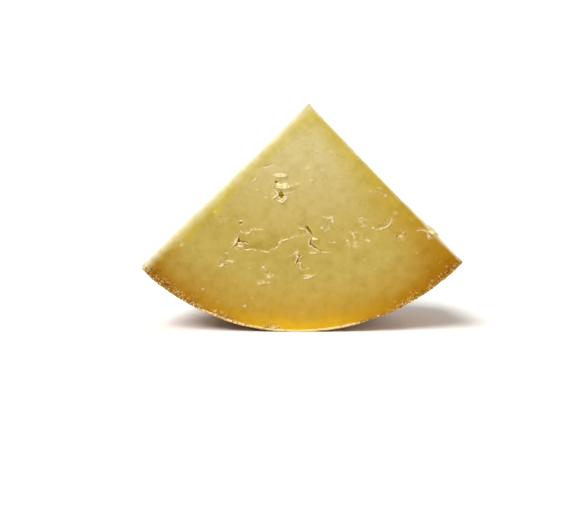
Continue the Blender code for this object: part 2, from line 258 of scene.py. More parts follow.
# Smooth noise for each use, in layers: how high a layer is, the size of its lumps in metres, and its seed
LAYERS = {
    "edge": ((0.25, 0.011, 11), (0.2, 0.0026, 12)),
    "ageing": ((1.0, 0.024, 5), (0.5, 0.009, 6)),
    "wave": ((0.35, 0.028, 3), (0.14, 0.007, 4)),
    "ragged": ((1.0, 0.0013, 21),),
    "fibre": ((1.0, 0.0007, 33),),
    "tear_across": ((0.45, 0.0036, 1), (0.35, 0.0012, 21)),
    "tear_along": ((0.45, 0.0036, 2), (0.35, 0.0012, 22)),
    "crumble": ((1.2, 0.0013, 21), (0.9, 0.0024, 32)),
    "pock_across": ((0.5, 0.0009, 43),),
    "pock_along": ((0.5, 0.0009, 44),),
    "tick_wander": ((4.0, 0.012, 41),),
    "tick_patches": ((1.0, 0.009, 42),),
    "smear_edge": ((0.18, 0.006, 61), (0.15, 0.0012, 62)),
    "smear_patches": ((0.3, 0.0035, 65),),
    "crust_edge": ((0.7, 0.0032, 63), (0.5, 0.0013, 64)),
    "crust_grains": ((1.0, 0.0011, 8), (0.5, 0.0026, 9)),
    "stain_and_shade": ((0.4, 0.003, 71),),
    "whey_band": ((0.45, 0.014, 72),),
    "spot": ((0.45, 0.004, 51), (0.3, 0.0015, 52)),
    "streak": ((1.0, 1.0, 53),),
    "rind_grain": ((1.0, 0.0018, 54),),
    "pit": ((1.0, 0.0042, 55),),
    "down": ((1.0, 0.0013, 56),),
    "proud": ((0.8, 0.0017, 57),),
}

# Spots on the rim, in millimetres: the place round the arc from its middle and the depth behind the big cut
# face, the half lengths in those two directions, and how strong the spot is
RIM_BLACK_SPOTS = (
    (10.5, 8, 3.2, 2.6, 1.0),
    (8, 14, 4.6, 2.4, 0.9),
    (4, 28, 3.2, 1.6, 0.9),
    (0, 9, 2.2, 1.8, 0.7),
    (60, 26, 2.2, 5.2, 1.0),
    (73, 11, 2.4, 4.2, 0.7),
    (-23, 6, 4.2, 2.8, 0.6),
    (-66, 33, 3.2, 2.2, 0.7),
)
RIM_GREY_SPOTS = (
    (-42, 7, 7.5, 4.4, 0.9),
    (-22, 6, 4.4, 3.4, 0.5),
    (51, 18, 8.5, 12.0, 0.9),
    (47, 15, 4.6, 3.8, 0.8),
    (10, 11, 6.0, 6.0, 0.6),
    (73, 10, 4.0, 5.0, 0.4),
    (-70, 30, 7.0, 6.0, 0.6),
)
RIM_BROWN_SPOTS = (
    (24, 40, 34, 10, 0.9),
    (4, 20, 12, 13, 0.6),
    (73, 12, 8, 8, 0.5),
    (-78, 18, 10, 9, 0.4),
    (-30, 40, 16, 7, 0.4),
)
# The same on the wheel's flat face, as x and z from the wheel's axis
FLAT_BLACK_SPOTS = ((22, -52, 3.4, 2.6, 0.9), (-38, -78, 2.6, 3.0, 0.8), (48, -88, 2.0, 1.6, 0.7))
FLAT_GREY_SPOTS = ((26, -56, 11, 9, 0.9), (-34, -74, 9, 7, 0.8), (4, -100, 7, 4.5, 0.6), (6, -24, 5, 6, 0.5))
FLAT_BROWN_SPOTS = ((-8, -66, 22, 14, 0.7), (50, -80, 14, 12, 0.7), (-55, -92, 14, 9, 0.6))
# Suns: direction, strength, spread in degrees, and tint
SUNS = (
    ("key", (-0.45, -0.35, 0.82), 3.5, 40, "FFFFFF"),
    ("fill", (0.75, 0.50, 0.55), 1.2, 50, "FFF4E4"),
)


def linear(hex_colour):
    """An sRGB hex colour as linear red, green, blue and alpha."""
    channels = [int(hex_colour[place : place + 2], 16) / 255 for place in (0, 2, 4)]
    return [c / 12.92 if c <= 0.04045 else ((c + 0.055) / 1.055) ** 2.4 for c in channels] + [1.0]


def length(name, description, default):
    """A size that the panel shows."""
    return FloatProperty(
        name=name, description=description, default=default, min=0.0, unit="LENGTH", precision=4
    )


def colour(name, description, hex_colour):
    """A colour that the panel shows."""
    shade = linear(hex_colour)
    return FloatVectorProperty(
        name=name, description=description, default=shade, size=4, min=0.0, max=1.0, subtype="COLOR"
    )


class CheeseForm(bpy.types.PropertyGroup):
    """The wedge's sizes."""

    wheel_radius: length("Wheel radius", "At the horizontal cut, where the wheel is widest", 0.125)
    slab_height: length("Slab height", "From the horizontal cut to the wheel's flat rind face", 0.055)
    rim_taper: FloatProperty(
        name="Rim taper",
        description="How much the rim draws in towards the flat face",
        default=math.radians(5.5),
        subtype="ANGLE",
    )
    rim_bulge: length("Rim bulge", "How far the middle of the rim swells", 0.0004)
    heel_radius: length("Heel radius", "The round between the rim and the flat rind face", 0.0075)
    dome_rise: length("Dome rise", "How far the flat rind face rises towards the wheel's middle", 0.0012)
    crisp_edge: length("Crisp edge", "The round of a knife-cut edge", 0.0009)
    smeared_edge: length("Smeared edge", "The round of the edge along the left cut", 0.0026)
    apex_edge: length("Apex edge", "The round of the edge where the two knife cuts meet", 0.0005)
    foot_depth: length("Foot depth", "How much of the rim its own weight has pressed flat", 0.0003)
    rind_thickness: length("Rind thickness", "The hard brown skin on the rim and the flat face", 0.0015)
    rind_proud: length("Rind proud", "How far the rind stands out of the cuts through it", 0.00012)
    crumb_count: IntProperty(name="Crumbs", description="Crumbs along the round edge", default=1300, min=0)


class CheeseColours(bpy.types.PropertyGroup):
    """The colours of the paste, the rind and the mould."""

    heart: colour("Heart", "Moist paste in the middle of the wheel", "D1C189")
    body: colour("Body", "Paste half way from the heart to the rind", "BBA354")
    edge_gold: colour("Edge gold", "Paste that has dried beside a knife cut, near the heart", "C2AC47")
    edge_amber: colour("Edge amber", "The same, near the rind", "AC7E0A")
    rind_gold: colour("Rind gold", "Paste that has ripened under the rind", "A2740A")
    rind_amber: colour("Rind amber", "Dry paste right under the rind", "985F00")
    # Painted bounce light from below: the brighter yellow of the paste under the rind where the rim is lowest
    bounce_lit_yellow: colour("Rind yellow", "Moister paste under the rind, where the rim is lowest", "DFB022")
    crust: colour("Crust", "The cut through the rind", "9C701C")
    crust_pale: colour("Pale crust", "The same where the rind is moist and pale", "F0D79A")
    # Also the colour of the painted shade under the apex's smeared fat
    whey: colour("Whey", "Yellow stains of whey", "CCBA42")
    # Partly smeared fat and partly painted light: a painted sheen along the left edge and a painted highlight
    # along the right one
    smear_and_sheen: colour("Smear", "Fat that the knife has smeared along an edge", "D8CDA0")
    lip: colour("Lip", "The torn lips of a fissure", "ECDBAE")
    # Also the painted shade on the slope above each fissure
    tear_and_shade: colour("Tear", "The bottom of a fissure", "C2A02E")
    crumb_dark: colour("Dark crumb", "The darkest crumbs of rind", "67440F")
    crumb_tan: colour("Tan crumb", "Most crumbs of rind", "AC781A")
    crumb_cream: colour("Cream crumb", "Crumbs of paste and pale rind", "E0C27C")
    rind_brown: colour("Rind brown", "Most of the rind", "9D6314")
    rind_tan: colour("Rind tan", "Rind that is worn or dusty", "C08C3A")
    rind_dark: colour("Rind dark", "Damp, dark rind", "5A2E0C")
    rind_orange: colour("Rind orange", "Young rind beside the big cut", "D08426")
    mould_black: colour("Black mould", "Spots of black mould", "1C0F0C")
    mould_grey: colour("Grey mould", "Down of grey mould", "A39188")
    mould_violet: colour("Violet mould", "The violet tone between the grey", "6C4A4C")


@dataclass
class CutFace:
    """A face that a knife or wire made: where its measures start, its directions, and what is torn in it."""

    start: np.ndarray
    across: np.ndarray
    along: np.ndarray
    inward: np.ndarray
    fissures: tuple
    eyes: tuple
    flaps: tuple = ()
    crumbles: tuple = ()

    def flat(self, points):
        """The places of these points on the face, in millimetres."""
        away = points - self.start
        return np.stack([away @ self.across, away @ self.along], axis=1) / MM

    def under(self, points):
        """How deep these points lie behind the face."""
        return (points - self.start) @ self.inward


def knife_cut(angle, side, *torn):
    """The face of a knife cut at that angle, with the paste on its right (1) or its left (-1)."""
    way_out = np.array([math.sin(angle), 0.0, -math.cos(angle)])
    inward = side * np.array([math.cos(angle), 0.0, math.sin(angle)])
    return CutFace(APEX, way_out, np.array([0.0, 1.0, 0.0]), inward, *torn)


BIG_FACE = CutFace(np.zeros(3), *np.eye(3)[[0, 2, 1]], FACE_FISSURES, FACE_EYES, FACE_FLAPS, FACE_CRUMBLES)
LEFT_FACE = knife_cut(LEFT_CUT, 1, LEFT_FISSURES, LEFT_EYES)
RIGHT_FACE = knife_cut(RIGHT_CUT, -1, RIGHT_FISSURES, RIGHT_EYES, RIGHT_FLAPS)


def smooth_step(start, end, value):
    """How far a value has come from the start to the end, from 0 to 1, gently at both."""
    share = np.clip((value - start) / (end - start), 0.0, 1.0)
    return share * share * (3.0 - 2.0 * share)


def bell(value):
    """1 where the value is 0, and close to 0 from 2 on to either side."""
    return np.exp(-(value**2))


def lumps(points, use):
    """The smooth noise for a use at each point, its layers added up."""
    total = np.zeros(len(points))
    for height, size, seed in LAYERS[use]:
        shift = Vector((17.3, 9.1, 4.7)) * (SEED + seed)
        total += height * np.array([noise.noise(Vector(point) / size + shift) for point in points])
    return total


def spread(flat, x, z, half_width=1.0, half_height=1.0):
    """Each place's distance from x and z, counted in these half widths and half heights."""
    return np.hypot((flat[:, 0] - x) / half_width, (flat[:, 1] - z) / half_height)


def spots(flat, listed, wander):
    """How strong a list of spots is at each place, with edges that wander."""
    strength = np.zeros(len(flat))
    for x, z, half_width, half_height, strong in listed:
        reach = spread(flat, x, z, half_width, half_height) + wander
        strength = np.maximum(strength, strong * smooth_step(1.25, 0.55, reach))
    return strength


def away_from_axis(points):
    """Each point's distance from the wheel's axis, and its direction."""
    flat = points * [1.0, 0.0, 1.0]
    distance = np.linalg.norm(flat, axis=1)
    return distance, flat / np.maximum(distance, MM)[:, None]

def from_apex_edge(points):
    """Each point's distance from the edge where the knife cuts meet."""
    return np.linalg.norm((points - APEX) * [1.0, 0.0, 1.0], axis=1)


def from_apex(points):
    """Each point's distance from the tip of the big face, in millimetres."""
    return np.linalg.norm(points - APEX, axis=1) / MM


class Slab:
    """The wedge's form, in its own frame, from the sizes that the panel shows."""

    # The ridge where the rim meets the heel
    ridge_height = 0.0006
    ridge_width = 0.0013
    # The lumps of ageing, how far in from an edge they reach, and how far from the foot they fade in
    lump_height = 0.0005
    lump_reach = 0.015
    foot_clear = (0.010, 0.030)
    # How far from the apex its sharper edge reaches
    apex_reach = 0.008

    def __init__(self, form):
        self.form = form
        self.radius = form.wheel_radius
        self.height = form.slab_height
        self.shift = self.shift_onto_node()

    def profile(self, deep, under):
        """The radius and y from the cut edge over rim and heel to the flat face, that far under the rind."""
        heel = self.form.heel_radius
        straight = self.height - heel
        gone = deep * (straight + heel * math.pi / 2)
        turn = np.clip((gone - straight) / heel, 0.0, math.pi / 2)
        run = np.minimum(gone, straight)
        ridge = self.ridge_height * bell((gone - straight + self.ridge_width) / self.ridge_width)
        swell = self.form.rim_bulge * np.sin(math.pi * run / straight) + ridge
        radius = self.radius - run * math.tan(self.form.rim_taper) + swell - under
        return radius - (heel - under) * (1 - np.cos(turn)), run + (heel - under) * np.sin(turn)

    def ways_out(self, angle, radius):
        """The direction at each angle round the apex, and how far off the rim of that radius is."""
        way = np.stack([np.sin(angle), np.zeros(len(angle)), -np.cos(angle)], axis=1)
        toward = way @ APEX
        return way, np.sqrt(toward**2 - APEX @ APEX + radius**2) - toward

    def sharp(self, cube, under):
        """The cube's points carried onto the slab, with its edges still sharp."""
        left, right, deep = cube.T
        across, up = left * np.sqrt(1 - right**2 / 2), right * np.sqrt(1 - left**2 / 2)
        angle = LEFT_CUT + (RIGHT_CUT - LEFT_CUT) * np.arctan2(up, across) / (math.pi / 2)
        radius, y = self.profile(deep, under)
        way, to_rim = self.ways_out(angle, radius)
        points = APEX + (np.hypot(across, up) * to_rim)[:, None] * way
        points[:, 1] = y
        return points

    def beside_rim(self, angle, depth, inset):
        """Places at these angles round the apex, depths behind the big face and distances in from the rim."""
        way, to_rim = self.ways_out(angle, self.radius - depth * math.tan(self.form.rim_taper))
        points = APEX + (to_rim - inset)[:, None] * way
        points[:, 1] = depth
        return points

    def depths(self, points):
        """How deep each point lies behind the nearer big face, the two knife cuts and the rim."""
        distance, _ = away_from_axis(points)
        rim = self.radius - points[:, 1] * math.tan(self.form.rim_taper) - distance
        nearer = np.minimum(points[:, 1], self.height - points[:, 1])
        return nearer, LEFT_FACE.under(points), RIGHT_FACE.under(points), np.maximum(rim, 0.0)

    def edge_size(self, points):
        """How round the nearest edge is: smeared beside the left cut, crisp elsewhere, and uneven."""
        smeared, crisp, apex = self.form.smeared_edge, self.form.crisp_edge, self.form.apex_edge
        size = smeared + (crisp - smeared) * smooth_step(smeared, 5 * smeared, LEFT_FACE.under(points))
        size = apex + (size - apex) * smooth_step(0.0, self.apex_reach, from_apex_edge(points))
        return size * (1 + lumps(points, "edge"))

    def rounded(self, points):
        """Rounds every knife-cut edge, by how deep each point lies under each of the faces around it."""
        _, outward = away_from_axis(points)
        front = np.where(points[:, 1] < self.height / 2, 1.0, -1.0)[:, None] * BIG_FACE.inward
        size = self.edge_size(points)
        short = [np.minimum(depth - size, 0.0) for depth in self.depths(points)]
        reach = np.maximum(np.sqrt(sum(part**2 for part in short)), size)
        result = points.copy()
        for part, way in zip(short, (front, LEFT_FACE.inward, RIGHT_FACE.inward, -outward)):
            result += (part * (size / reach - 1.0))[:, None] * way
        return result

    def aged(self, points):
        """Raises the flat rind face into a dome, and gives it and the rim the lumps of ageing on a board."""
        distance, outward = away_from_axis(points)
        lump = self.lump_height * lumps(points, "ageing")
        from_foot = np.abs(points[:, 0]) + np.maximum(points[:, 2] + self.radius / 2, 0.0)
        near_rim = smooth_step(self.radius - self.lump_reach, self.radius, distance)
        near_rim *= smooth_step(*self.foot_clear, from_foot)
        near_flat = smooth_step(self.height - self.lump_reach, self.height, points[:, 1])
        dome = self.form.dome_rise * (1 - (distance / self.radius) ** 2) * points[:, 1] / self.height
        result = points + (near_rim * lump)[:, None] * outward
        result[:, 1] += dome + near_flat * lump
        return result

    def leaned(self, points):
        """Leans the slab back until its tapered rim lies flat, and presses its foot."""
        x, y, z = points.T
        lean_sine, lean_cosine = math.sin(self.form.rim_taper), math.cos(self.form.rim_taper)
        above_foot = z + self.radius
        back = y * lean_cosine + above_foot * lean_sine
        up = np.maximum(above_foot * lean_cosine - y * lean_sine - self.form.foot_depth, 0.0)
        return np.stack([x, back, up], axis=1)

    def shift_onto_node(self):
        """The way from the leaned slab to the CAD node's place, where the middles of their boxes meet."""
        steps = np.linspace(0.0, 1.0, 41)
        grid = np.stack(np.meshgrid(steps, steps, steps), axis=-1).reshape(-1, 3)
        skin = grid[(grid.min(axis=1) == 0.0) | (grid.max(axis=1) == 1.0)]
        points = self.leaned(self.aged(self.rounded(self.sharp(skin, 0.0))))
        middle = (points.min(axis=0) + points.max(axis=0)) / 2
        lowest, highest = NODE_BOX
        return (np.array(lowest + highest) / 2 - middle) * [1.0, 1.0, 0.0]

    def standing(self, points):
        """Stands the slab up where the CAD node stands."""
        return self.leaned(points) + self.shift


def distance_to_path(flat, path):
    """Each place's distance from the path, on which side of it the place lies, and how far along it is."""
    nearest = np.full(len(flat), np.inf)
    side = np.zeros(len(flat))
    along = np.zeros(len(flat))
    steps = list(zip(path, path[1:]))
    for index, (start, end) in enumerate(steps):
        run = np.subtract(end, start)
        offset = flat - start
        share = np.clip(offset @ run / (run @ run), 0.0, 1.0)
        reach = np.linalg.norm(offset - share[:, None] * run, axis=1)
        closer = reach < nearest
        nearest = np.where(closer, reach, nearest)
        side = np.where(closer, np.sign(run[0] * offset[:, 1] - run[1] * offset[:, 0]), side)
        along = np.where(closer, (index + share) / len(steps), along)
    return nearest, side, along


def pocks():
    """The small random pocks and the grains of the big face: place, radius and strength."""
    draw = np.random.default_rng(SEED)
    (left, right), (low, high) = POCK_SPACE
    x, z = draw.uniform(left, right, POCK_COUNT), draw.uniform(low, high, POCK_COUNT)
    listed = []
    for places, (radii, strength) in (
        (list(zip(x, z)), POCK_KIND),
        (FACE_GRAINS, GRAIN_KIND),
        (FAINT_GRAINS, FAINT_KIND),
    ):
        sizes = draw.uniform(*radii, len(places))
        listed += [(*place, radius, strength) for place, radius in zip(places, sizes)]
    return listed


def near_tears(face, flat, reach):
    """Which places lie within that many millimetres of anything torn in the face."""
    near = np.zeros(len(flat), bool)
    for width, _, _, _, path in face.fissures:
        near |= distance_to_path(flat, path)[0] < reach + width
    for x, z, radius, _ in face.eyes:
        near |= spread(flat, x, z) < reach + radius
    for x, z, half_width, half_height, _ in face.flaps:
        near |= spread(flat, x, z, half_width + reach / 2, half_height + reach / 2) < 1
    return near


def flap_relief(face, torn, ragged, fibre):
    """How far the torn flaps stand proud: each rises downwards and ends in a sharp, ragged lower edge."""
    raised, lip = np.zeros((2, len(torn)))
    ridged = 1 + 0.5 * fibre + 0.3 * ragged
    for x, z, half_width, half_height, proud in face.flaps:
        reach = spread(torn, x, z, half_width, half_height)
        reach += (0.2 * ragged + 0.15 * fibre) * (1 + 1 / half_height)
        rise = 0.1 + 0.9 * smooth_step(1.0, -0.9, (torn[:, 1] - z) / half_height)
        raised += proud * (1 - smooth_step(0.80, 1.0, reach)) * rise * ridged
        lip += (0.25 + proud) * (1 - smooth_step(0.55, 1.0, reach)) * np.clip(0.8 + fibre, 0.2, 1.3)
    return raised, lip


def fissure_relief(face, torn, ragged):
    """How deep the fissures cut and slope, how torn the face is there, with a painted shade on the slope above
    each, and how far their lips rise.
    """
    sink, tear_and_shade, lip = np.zeros((3, len(torn)))
    for width, depth, bank, proud, path in face.fissures:
        reach, side, along = distance_to_path(torn, path)
        # A fissure closes towards both of its ends
        ends = np.sin(math.pi * np.clip(along, 0.02, 0.98)) ** 0.4
        wide = width * (0.45 + 0.65 * ends)
        slit = (1 - smooth_step(0.2 * wide, 0.75 * wide, reach)) * ends
        slope = np.where(side > 0, bank * ends * bell(reach / BANK_REACH), 0.0)
        crest = bell((reach - 0.75 * wide - 0.25) / LIP_WIDTH) * ends
        below = np.where(side < 0, crest, 0.25 * crest) * np.clip(0.65 + 1.1 * ragged, 0.0, 1.4)
        sink += depth * slit + slope - proud * below
        # Part of the tear's colour on the slope above a fissure is the painted shade of its dip
        tear_and_shade += slit * smooth_step(0.25, 1.0, depth) + 0.38 * slope
        lip += below * (0.5 + proud)
    return sink, tear_and_shade, lip


def torn_relief(face, points):
    """How deep a cut face sinks at each point, and how torn and how lip-like it is there, from 0 to 1."""
    flat = face.flat(points)
    ragged = lumps(points, "ragged")
    torn = flat + np.stack([lumps(points, "tear_across"), lumps(points, "tear_along")], axis=1)
    # Fibres lie along x, about three times as long as they are wide
    fibre = lumps(points * [0.35, 1.0, 1.0], "fibre")
    raised, lip = flap_relief(face, 0.6 * flat + 0.4 * torn, ragged, fibre)
    sink, tear_and_shade, crest = fissure_relief(face, torn, ragged)
    sink -= raised
    lip += crest
    for x, z, radius, depth in face.eyes:
        reach = spread(torn, x, z) + 0.75 * radius * ragged
        hole = 1 - smooth_step(0.5 * radius, 1.1 * radius, reach)
        ring = bell((reach - 1.4 * radius) / (0.35 * radius)) * np.clip(0.7 + ragged, 0.0, 1.3)
        sink += depth * hole * (1 + 0.5 * ragged) - 0.3 * ring
        tear_and_shade += hole * smooth_step(0.3, 1.2, depth)
        lip += ring * smooth_step(0.6, -0.4, (torn[:, 1] - z) / radius)
    crumble = lumps(points, "crumble")
    for x, z, radius, rough in face.crumbles:
        patch = rough * (1 - smooth_step(0.25 * radius, radius, spread(flat, x, z)))
        sink += patch * crumble
        lip += 2.2 * patch * np.maximum(-crumble, 0.0)
        tear_and_shade += 1.6 * patch * np.maximum(crumble - 0.2, 0.0)
    deep = smooth_step(0.3, 1.0, tear_and_shade)
    return sink, np.clip(tear_and_shade, 0.0, 1.0), np.clip(lip * (1 - deep), 0.0, 1.0)


def wire_ticks(points):
    """The wire's ticks across the right cut, as a wave between -1 and 1."""
    out = RIGHT_FACE.flat(points)[:, 0]
    return np.sin(2 * math.pi * out / TICK_PITCH + lumps(points, "tick_wander"))


def pocked_relief(points):
    """The same for the grains, the pocks and the wire's ticks beside the right cut, on the big face alone."""
    flat = BIG_FACE.flat(points)
    sink, tear_and_shade, lip = np.zeros((3, len(points)))
    wandered = flat + np.stack([lumps(points, "pock_across"), lumps(points, "pock_along")], axis=1)
    for x, z, radius, strength in pocks():
        near = spread(flat, x, z) < 4 * radius
        grain_and_glint = bell(spread(wandered[near], x, z) / radius)
        # Below each grain, a little to its right, lies a smaller pore
        pore = bell(spread(wandered[near], x + 0.4 * radius, z - 1.5 * radius) / (0.7 * radius))
        sink[near] += (0.2 + 0.4 * strength) * radius * (pore - grain_and_glint)
        tear_and_shade[near] += (0.2 + 0.25 * strength) * pore
        # Each grain's pale colour is partly a painted glint
        lip[near] += strength * grain_and_glint
    beside, out = RIGHT_FACE.under(points) / MM, RIGHT_FACE.flat(points)[:, 0]
    comb = wire_ticks(points) * smooth_step(-0.15, 0.35, lumps(points, "tick_patches"))
    comb *= smooth_step(TICK_REACH, 0.3 * TICK_REACH, beside) * smooth_step(*TICK_START, out)
    return sink + 0.12 * comb, tear_and_shade + 0.3 * np.maximum(comb, 0.0), lip + 0.75 * np.maximum(-comb, 0.0)


def unit_cube(cells_across, cells_deep):
    """A closed unit cube with a corner at the origin, its sides split into equal cells."""
    build = bmesh.new()
    bmesh.ops.create_cube(build, size=1.0)
    bmesh.ops.translate(build, verts=build.verts, vec=(0.5, 0.5, 0.5))
    upright = [edge for edge in build.edges if edge.verts[0].co.z != edge.verts[1].co.z]
    bmesh.ops.subdivide_edges(build, edges=upright, cuts=cells_deep - 1, use_grid_fill=True)
    level = [edge for edge in build.edges if edge.calc_length() > 0.5]
    bmesh.ops.subdivide_edges(build, edges=level, cuts=cells_across - 1, use_grid_fill=True)
    return build


def split_cells(build, chosen):
    """Halves the edges between the chosen points, which makes four cells of one."""
    edges = [edge for edge in build.edges if chosen[edge.verts[0].index] and chosen[edge.verts[1].index]]
    bmesh.ops.subdivide_edges(build, edges=edges, cuts=1, use_grid_fill=True)
    build.verts.index_update()


def cube_points(build):
    """The cube's points as numbers from 0 to 1."""
    return np.array([vertex.co for vertex in build.verts]).round(6).clip(0.0, 1.0)


def sides_of(cube):
    """Each cut face with the points of the cube that lie on it."""
    return ((BIG_FACE, cube[:, 2] == 0), (LEFT_FACE, cube[:, 1] == 0), (RIGHT_FACE, cube[:, 0] == 0))


def finished_piece(name, build, places, attributes, material):
    """Turns a bmesh into a smooth object that rides on the part, with named numbers at each of its points."""
    for vertex, place in zip(build.verts, places):
        vertex.co = place
    bmesh.ops.recalc_face_normals(build, faces=build.faces)
    mesh = bpy.data.meshes.new(name)
    build.to_mesh(mesh)
    build.free()
    for label, values in attributes.items():
        mesh.attributes.new(label, "FLOAT", "POINT").data.foreach_set("value", values.astype(np.float32))
    mesh.materials.append(material)
    mesh.shade_smooth()
    piece = bpy.data.objects.new(name, mesh)
    bpy.context.scene.collection.objects.link(piece)
    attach(piece, "root")
    return piece


def smear_and_sheen_share(slab, sharp):
    """Where the edges are pale: broad along the big face's left edge, smeared fat with a painted sheen; thin
    along the right one, a painted edge highlight; and at its tip, smeared fat.
    """
    uneven = 1 + lumps(sharp, "smear_edge")
    from_left = np.maximum(LEFT_FACE.under(sharp), 1.7 * sharp[:, 1]) / slab.form.smeared_edge / uneven
    left = smooth_step(2.3, 0.55, from_left) * np.clip(0.86 + lumps(sharp, "smear_patches"), 0.0, 1.0)
    from_right = np.maximum(RIGHT_FACE.under(sharp), sharp[:, 1]) / slab.form.crisp_edge / uneven
    right = smooth_step(2.0, 0.8, from_right) * (0.87 + 0.13 * wire_ticks(sharp))
    apex = smooth_step(*APEX_SMEAR, from_apex(sharp) / uneven)
    return np.maximum.reduce([left, 0.95 * right, 0.8 * apex])


def crust_share(sharp, under_rind):
    """How crumbly the paste is beside the rind: in an uneven band round the big face, narrow elsewhere."""
    angle = np.arctan2(sharp[:, 0] - APEX[0], APEX[2] - sharp[:, 2])
    wide = np.interp((angle - LEFT_CUT) / (RIGHT_CUT - LEFT_CUT), CRUST_SHARES, CRUST_WIDTHS)
    wide = np.where(sharp[:, 1] < 1.5 * MM, wide, SIDE_CRUST_WIDTH) * (1 + lumps(sharp, "crust_edge"))
    return smooth_step(1.5, 0.4, under_rind / wide)


def dried_share(slab, sharp):
    """How far the paste has dried: beside two cut faces, and most at the apex."""
    reach = DRY_SHARE_AT_APEX + (1 - DRY_SHARE_AT_APEX) * from_apex_edge(sharp) / slab.radius
    dried = [
        1 - smooth_step(0.05, 1.0, face.under(sharp) / MM / span / reach)
        for face, span in zip((BIG_FACE, LEFT_FACE, RIGHT_FACE), DRY_SPANS)
    ]
    at_apex = APEX_DRYNESS * (1 - smooth_step(*APEX_DRY_SPAN, from_apex(sharp)))
    return np.maximum(0.9 * np.sort(dried, axis=0)[1], at_apex)


def stain_and_shade_share(sharp, under_rind):
    """Where whey has stained the big face, in its spots and in a band along the left edge, and where the first
    spot paints the shade under the apex's smeared fat.
    """
    in_spots = spots(BIG_FACE.flat(sharp), FACE_STAINS_AND_SHADE, lumps(sharp, "stain_and_shade"))
    band = (0.6 + lumps(sharp, "whey_band")) * smooth_step(8.0, 30.0, under_rind)
    band *= smooth_step(WHEY_BAND, 0.4 * WHEY_BAND, LEFT_FACE.under(sharp) / MM)
    return np.maximum(in_spots, band) * smooth_step(3.0, 0.5, sharp[:, 1] / MM)


def refined_cube(slab, under):
    """The paste's unit cube, dense on the big face and densest where that is torn and along its edges."""
    build = unit_cube(*PASTE_CELLS)
    build.verts.index_update()
    split_cells(build, cube_points(build)[:, 2] == 0)
    for reach, edge_reach in REFINING:
        cube = cube_points(build)
        sharp = slab.sharp(cube, under)
        chosen = np.zeros(len(cube), bool)
        for face, there in sides_of(cube):
            chosen[there] |= near_tears(face, face.flat(sharp[there]), reach)
        edge = np.minimum(RIGHT_FACE.under(sharp), slab.depths(sharp)[3])
        chosen |= (cube[:, 2] == 0) & (edge < edge_reach * MM)
        split_cells(build, chosen)
    return build


def make_paste(slab):
    """The cut body, and the numbers at each of its points that its colours follow."""
    under = slab.form.rind_thickness - 0.15 * MM
    build = refined_cube(slab, under)
    cube = cube_points(build)
    sharp = slab.sharp(cube, under)
    under_flat = (slab.height - sharp[:, 1]) / MM
    ripe_flat = under_flat + 80.0 * smooth_step(*FLAT_RIPE_SPAN, under_flat)
    under_rind = np.minimum(slab.depths(sharp)[3] / MM, ripe_flat)
    points = slab.aged(slab.rounded(sharp))
    crust = crust_share(sharp, under_rind)
    tear_and_shade, lip = np.zeros((2, len(cube)))
    for face, there in sides_of(cube):
        relief = torn_relief(face, sharp[there])
        if face is BIG_FACE:
            relief = np.add(relief, pocked_relief(sharp[there]))
        crumble = crust[there] * lumps(sharp[there], "crust_grains")
        sink = relief[0] + lumps(sharp[there], "wave") + 0.45 * crumble
        points[there] += (sink * MM)[:, None] * face.inward
        tear_and_shade[there] = np.maximum(tear_and_shade[there], relief[1])
        lip[there] = np.maximum(lip[there], relief[2])
    # Where the rim is lowest: the mask of the painted bounce light from below
    low = bell(sharp[:, 0] / (LOW_WIDTH * slab.radius)) * smooth_step(*LOW_SPAN, sharp[:, 2] / slab.radius)
    attributes = {
        "under_rind": under_rind,
        "dried": dried_share(slab, sharp),
        "smear_and_sheen": smear_and_sheen_share(slab, sharp),
        "crust": crust,
        "low": low,
        "stain_and_shade": stain_and_shade_share(sharp, under_rind),
        "tear_and_shade": np.clip(tear_and_shade, 0.0, 1.0),
        "lip": np.clip(lip, 0.0, 1.0),
    }
    return build, slab.standing(points), attributes


def feed(tree, node, feeds):
    """Gives each of these sockets of a node its value or its link."""
    for socket, value in dict(feeds).items():
        if isinstance(value, bpy.types.NodeSocket):
            tree.links.new(value, node.inputs[socket])
        else:
            node.inputs[socket].default_value = value


def add_node(tree, kind, feeds=(), **settings):
    """Adds a node with its options and what feeds each of its sockets, as a value or a link."""
    node = tree.nodes.new(kind)
    for name, value in settings.items():
        setattr(node, name, value)
    feed(tree, node, feeds)
    return node


def measures(tree, *names):
    """The numbers of these names that each point of the piece carries."""
    return [add_node(tree, "ShaderNodeAttribute", attribute_name=name).outputs["Fac"] for name in names]


def reckoned(tree, operation, *numbers):
    """What an operation makes of these numbers."""
    return add_node(tree, "ShaderNodeMath", enumerate(numbers), operation=operation).outputs[0]


def ranged(tree, value, start, end, low=0.0, high=1.0, **settings):
    """How far a value has come from the start to the end, as a number from low to high."""
    feeds = {"Value": value, "From Min": start, "From Max": end, "To Min": low, "To Max": high}
    return add_node(tree, "ShaderNodeMapRange", feeds, **settings).outputs[0]


def noised(tree, place, per_metre, detail, roughness=0.5):
    """Noise with about that many lumps to a metre, and finer ones on them."""
    feeds = {"Vector": place, "Scale": per_metre, "Detail": detail, "Roughness": roughness}
    return add_node(tree, "ShaderNodeTexNoise", feeds).outputs["Fac"]


def grain_tones(tree, place):
    """A random number for each grain of the crust, which is 0.7 mm wide."""
    cells = add_node(tree, "ShaderNodeTexVoronoi", {"Vector": place, "Scale": 1400.0})
    return add_node(tree, "ShaderNodeSeparateColor", {0: cells.outputs["Color"]}).outputs[0]


def ramped(tree, share, *stops):
    """A colour that runs from stop to stop, each a share and a colour."""
    node = add_node(tree, "ShaderNodeValToRGB", {"Fac": share})
    ends = node.color_ramp.elements
    for end, (place, shade) in ((ends[0], stops[0]), (ends[-1], stops[-1])):
        end.position, end.color = place, shade[:]
    for place, shade in stops[1:-1]:
        ends.new(place).color = shade[:]
    return node.outputs["Color"]


